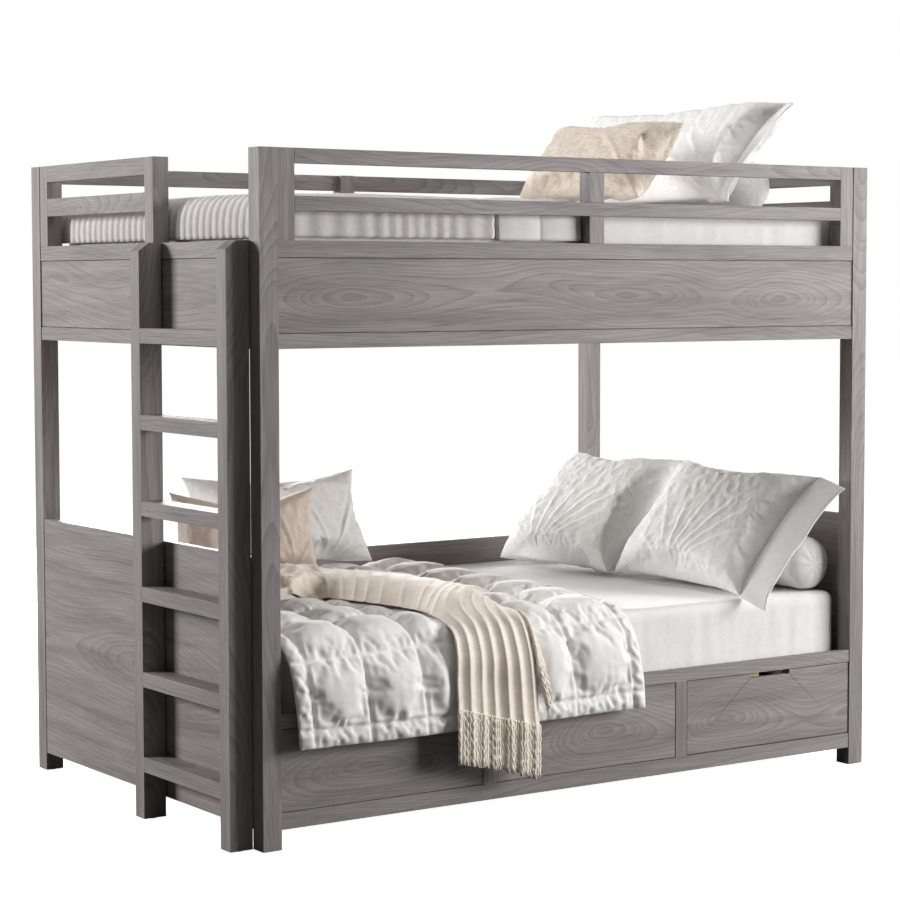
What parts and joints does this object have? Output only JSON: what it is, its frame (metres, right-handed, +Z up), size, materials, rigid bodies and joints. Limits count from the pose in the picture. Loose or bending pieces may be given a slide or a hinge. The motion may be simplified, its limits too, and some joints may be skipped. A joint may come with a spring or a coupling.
{
  "type": "bunk bed",
  "caption": "Full-length bunk bed in grey-stained wood with guard rails, an end ladder, an under-bed drawer on runners, and made-up bedding on both decks.",
  "frame": {"origin": "floor centre of the four posts, under the middle leg", "axes": "+X along the bed away from the ladder, +Y to the back, +Z up"},
  "size_m": [2.2655, 1.5, 2.1349],
  "materials": {
    "grey_stained_wood": "matte grey stain, open grain",
    "slat_pine": "planed, unfinished",
    "drawer_birch": "clear satin lacquer",
    "zinc_steel": "zinc plated, satin",
    "black_plastic": "moulded, matte",
    "white_cotton": "washed cotton, fine wrinkles",
    "white_linen": "soft quilted cotton",
    "oat_wool": "ribbed knit with twisted fringe",
    "stone_quilt": "channel-quilted cotton"
  },
  "bodies": {
    "bed": {"angle_screws": "zinc_steel", "centre_beams": "slat_pine", "centre_legs": "slat_pine", "channel_quilt": "stone_quilt", "comforter": "white_linen", "corner_angles": "zinc_steel", "drawer_bay_boards": "drawer_birch", "floor_glides": "black_plastic", "folded_coverlet": "white_linen", "guard_back_rails": "grey_stained_wood", "guard_back_upright": "grey_stained_wood", "guard_front_rails": "grey_stained_wood", "guard_front_uprights": "grey_stained_wood", "guard_head_end_rails": "grey_stained_wood", "guard_head_end_upright": "grey_stained_wood", "guard_ladder_end_rails": "grey_stained_wood", "guard_ladder_end_uprights": "grey_stained_wood", "ladder_bolts": "zinc_steel", "ladder_far_rail": "grey_stained_wood", "ladder_near_rail": "grey_stained_wood", "ladder_plates": "zinc_steel", "ladder_rungs": "grey_stained_wood", "lower_back_board": "grey_stained_wood", "lower_foot_pillows": "white_cotton", "lower_front_dividers": "grey_stained_wood", "lower_front_panels": "grey_stained_wood", "lower_front_rails": "grey_stained_wood", "lower_head_end_board": "grey_stained_wood", "lower_head_pillows": "white_cotton", "lower_ladder_end_board": "grey_stained_wood", "lower_ledgers": "slat_pine", "lower_mattress": "white_cotton", "lower_slats": "slat_pine", "post_back_head": "grey_stained_wood", "post_back_ladder": "grey_stained_wood", "post_front_head": "grey_stained_wood", "post_front_ladder": "grey_stained_wood", "runner_cabinet_members": "zinc_steel", "throw_blanket": "oat_wool", "upper_back_panel": "grey_stained_wood", "upper_back_rails": "grey_stained_wood", "upper_front_panel": "grey_stained_wood", "upper_front_rails": "grey_stained_wood", "upper_head_end_panel": "grey_stained_wood", "upper_head_end_rails": "grey_stained_wood", "upper_ladder_end_panel": "grey_stained_wood", "upper_ladder_end_rails": "grey_stained_wood", "upper_ledgers": "slat_pine", "upper_mattress": "white_cotton", "upper_pillows": "white_cotton", "upper_slats": "slat_pine"},
    "runner_middle": {"runner_middle_members": "zinc_steel"},
    "drawer": {"drawer_front": "grey_stained_wood", "drawer_sides": "drawer_birch", "drawer_ends": "drawer_birch", "drawer_floor": "drawer_birch", "runner_drawer_members": "zinc_steel"}
  },
  "joints": [
    {"name": "drawer_slide", "type": "slide", "parent": "bed", "child": "drawer", "axis": [0, -1, 0], "range_m": [0, 0.45]},
    {"name": "runner_middle_slide", "type": "slide", "parent": "bed", "child": "runner_middle", "axis": [0, -1, 0], "range_m": [0, 0.225]}
  ],
  "couplings": [
    {"joint": "runner_middle_slide", "follows": "drawer_slide", "ratio": 0.5}
  ]
}
